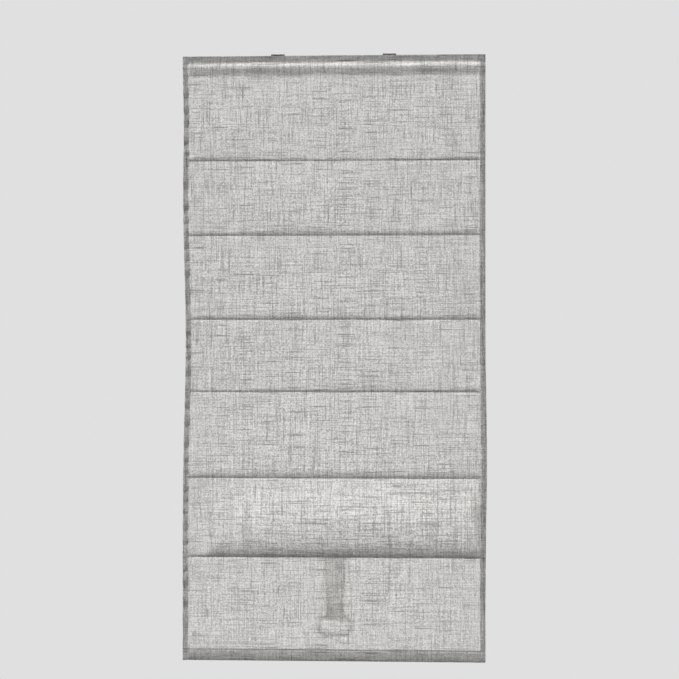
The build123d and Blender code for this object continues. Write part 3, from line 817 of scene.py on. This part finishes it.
web_dark, web_light, web_glow = (0.42, 0.42, 0.41), (0.62, 0.62, 0.60), (0.92, 0.92, 0.91)
pick_grain, end_grain, web_detail = (120, 20, 1500), (1100, 20, 60), 1.0
web_height, web_see_through, web_roughness, web_sheen = 0.0003, 0.76, 0.85, 0.2
webbing, webbing_shader = start_finish("webbing", web_roughness)
webbing_shader.inputs["Sheen Weight"].default_value = web_sheen
picks = spread(webbing, grain(webbing, pick_grain, web_detail), 0.0, 1.0)
ends = spread(webbing, grain(webbing, end_grain, web_detail), 0.0, 1.0)
web = blend_values(webbing, "MAXIMUM", picks, ends)
paint(webbing, webbing_shader, web, (0.1, web_dark), (0.8, web_light))
relief(webbing, webbing_shader, web, web_height)
see_through(webbing, webbing_shader, web_glow, web_see_through)

strap_path = []
for i in range(drop_steps + 1):
    strap_path.append((strap_front, strap_top + (ring_bar_z - strap_top) * i / drop_steps))
for i in range(1, loop_steps + 1):
    turn = math.pi + loop_turn * i / loop_steps
    strap_path.append((ring_bar_y + strap_loop * math.cos(turn), ring_bar_z + strap_loop * math.sin(turn)))
for i in range(1, tail_steps + 1):
    rise = tail_start + (strap_tail - tail_start) * i / tail_steps
    gap = tail_lift * bell(rise, tail_settles)
    strap_path.append((strap_front + strap_layer + gap, ring_bar_z + rise))
strap = bmesh.new()
bmesh.ops.create_grid(strap, x_segments=strap_columns, y_segments=len(strap_path) - 1, size=1.0)
for vertex in strap.verts:
    y, z = strap_path[round((1.0 - vertex.co.y) / 2.0 * (len(strap_path) - 1))]
    taper = min(max((z - strap_taper_end) / (strap_top - strap_taper_end), 0.0), 1.0)
    half = strap_half + (strap_half_top - strap_half) * taper
    vertex.co = (strap_centre + vertex.co.x * half, y, z)
bmesh.ops.recalc_face_normals(strap, faces=strap.faces)
strap_piece = place_piece("strap_webbing", make_mesh("strap_webbing", strap), webbing, "lift")
shell = strap_piece.modifiers.new("thickness", "SOLIDIFY")
shell.thickness = webbing_thickness
shell.offset = 0.0
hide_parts("pull_strap")

# A box of stitches closes the strap's loop over the ring, and shows on both faces.
box_half, box_rise, box_height = 0.020, 0.014, 0.027
box_left, box_right = strap_centre - box_half, strap_centre + box_half
box_low, box_high = ring_bar_z + box_rise, ring_bar_z + box_rise + box_height
strap_rows = []
for y in (strap_front - webbing_thickness / 2, strap_front + strap_layer + webbing_thickness / 2):
    for z in (box_low, box_high):
        strap_rows += straight_row(Vector((box_left, y, z)), Vector((box_right, y, z)))
    for x in (box_left, box_right):
        strap_rows += straight_row(Vector((x, y, box_low)), Vector((x, y, box_high)))
sew("strap_stitches", strap_rows, "lift")

# Pull ring
# A finger ring injection-moulded in milky plastic, with a round bar and soft corners.
# It swings in the strap's loop and is pulled to lower the blind.
pull_corner = 0.018
pull_flat = (ring_high.x - ring_low.x) / 2 - pull_bar - pull_corner
pull_upright = ring_high.z - ring_low.z - 2 * (pull_bar + pull_corner)
pull_facets, corner_steps, weld = 20, 12, 0.00001
pull_glow, pull_see_through = (0.94, 0.94, 0.93), 0.66
pull_plastic = worn_finish(
    "pull_plastic", dark=(0.66, 0.66, 0.64), light=(0.74, 0.74, 0.72),
    patches=(60, 60, 60), fine=(1500, 1500, 1500), height=0.00002, roughness=0.3)
see_through(pull_plastic, pull_plastic.node_tree.nodes["Principled BSDF"], pull_glow, pull_see_through)


def turn_corner(shape, edges, centre):
    """Turns edges round a corner of the ring, and gives the last ones."""
    points = dict.fromkeys(vertex for edge in edges for vertex in edge.verts)
    made = bmesh.ops.spin(shape, geom=[*points, *edges], cent=centre, axis=(0, 1, 0),
                          angle=math.pi / 2, steps=corner_steps)["geom_last"]
    return [item for item in made if isinstance(item, bmesh.types.BMEdge)]


pull = bmesh.new()
pull_start = Matrix.Translation((strap_centre, ring_bar_y, ring_bar_z)) @ facing_right
bmesh.ops.create_circle(pull, segments=pull_facets, radius=pull_bar, matrix=pull_start)
right, left = strap_centre + pull_flat, strap_centre - pull_flat
high, low = ring_bar_z - pull_corner, ring_bar_z - pull_corner - pull_upright
leading = list(pull.edges)
for move, (x, z) in (((pull_flat, 0, 0), (right, high)), ((0, 0, -pull_upright), (right, low)),
                     ((-2 * pull_flat, 0, 0), (left, low)), ((0, 0, pull_upright), (left, high))):
    leading = draw_out(pull, leading, move)
    leading = turn_corner(pull, leading, (x, ring_bar_y, z))
draw_out(pull, leading, (pull_flat, 0, 0))
bmesh.ops.remove_doubles(pull, verts=pull.verts, dist=weld)
bmesh.ops.recalc_face_normals(pull, faces=pull.faces)
ring_piece = place_piece("finger_ring", make_mesh("finger_ring", pull), pull_plastic, "pull_ring")
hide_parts("pull_ring")

# Floor, light and camera
# A plain pale floor lies far below. One broad soft lamp stands in front and above, another
# behind and below, so that its light comes through the cloth. The camera looks from the front.
floor_level, floor_radius, floor_sides = -2.4, 2.5, 96
floor_dark, floor_light = (0.74, 0.74, 0.73), (0.78, 0.78, 0.77)
floor_grain, floor_detail, floor_roughness = (2, 2, 2), 3.0, 0.9
disc = bmesh.new()
bmesh.ops.create_circle(disc, cap_ends=True, segments=floor_sides, radius=floor_radius,
                        matrix=Matrix.Translation((0, 0, floor_level)))
floor_finish, floor_shader = start_finish("floor_finish", floor_roughness)
paint(floor_finish, floor_shader, grain(floor_finish, floor_grain, floor_detail),
      (0.3, floor_dark), (0.7, floor_light))
floor = bpy.data.objects.new("floor", make_mesh("floor", disc))
floor.data.materials.append(floor_finish)
floor.visible_shadow = False
floor.visible_diffuse = False
bpy.context.scene.collection.objects.link(floor)

# Even light from all round, and a plain pale backdrop for the camera and for reflections.
ambient, backdrop = 0.20, (0.74, 0.7437, 0.74)
world = bpy.data.worlds.new("soft_light")
bpy.context.scene.world = world
world.use_nodes = True
sky = world.node_tree
sky.nodes["Background"].inputs["Color"].default_value = (1, 1, 1, 1)
sky.nodes["Background"].inputs["Strength"].default_value = ambient
pale = sky.nodes.new("ShaderNodeBackground")
pale.inputs["Color"].default_value = (*backdrop, 1)
pale.inputs["Strength"].default_value = 1.0
rays = sky.nodes.new("ShaderNodeLightPath")
seen = sky.nodes.new("ShaderNodeMath")
seen.operation = "MAXIMUM"
sky.links.new(rays.outputs["Is Camera Ray"], seen.inputs[0])
sky.links.new(rays.outputs["Is Glossy Ray"], seen.inputs[1])
pick = sky.nodes.new("ShaderNodeMixShader")
sky.links.new(seen.outputs["Value"], pick.inputs["Fac"])
sky.links.new(sky.nodes["Background"].outputs["Background"], pick.inputs[1])
sky.links.new(pale.outputs["Background"], pick.inputs[2])
sky.links.new(pick.outputs["Shader"], sky.nodes["World Output"].inputs["Surface"])


def hang_lamp(name, azimuth, elevation, strength, softness):
    """A broad distant lamp, by the direction that its light comes from, in degrees."""
    lamp = bpy.data.lights.new(name, "SUN")
    lamp.energy = strength
    lamp.angle = math.radians(softness)
    holder = bpy.data.objects.new(name, lamp)
    turn, rise = math.radians(azimuth), math.radians(elevation)
    source = Vector((math.sin(turn) * math.cos(rise), -math.cos(turn) * math.cos(rise), math.sin(rise)))
    holder.rotation_euler = source.to_track_quat("Z", "Y").to_euler()
    bpy.context.scene.collection.objects.link(holder)


hang_lamp("front_lamp", azimuth=-20, elevation=48, strength=4.15, softness=40)
hang_lamp("back_lamp", azimuth=175, elevation=-37, strength=3.5, softness=40)

focal_length, sensor_width = 78.638, 36.0
camera_place, camera_swing = (0.18622, -4.0, -0.76690), 0.04269
lens = bpy.data.cameras.new("camera")
lens.lens = focal_length
lens.sensor_width = sensor_width
camera = bpy.data.objects.new("camera", lens)
camera.location = camera_place
camera.rotation_euler = (math.pi / 2, 0, camera_swing)
bpy.context.scene.collection.objects.link(camera)
bpy.context.scene.camera = camera
bpy.context.scene.view_settings.view_transform = "Standard"
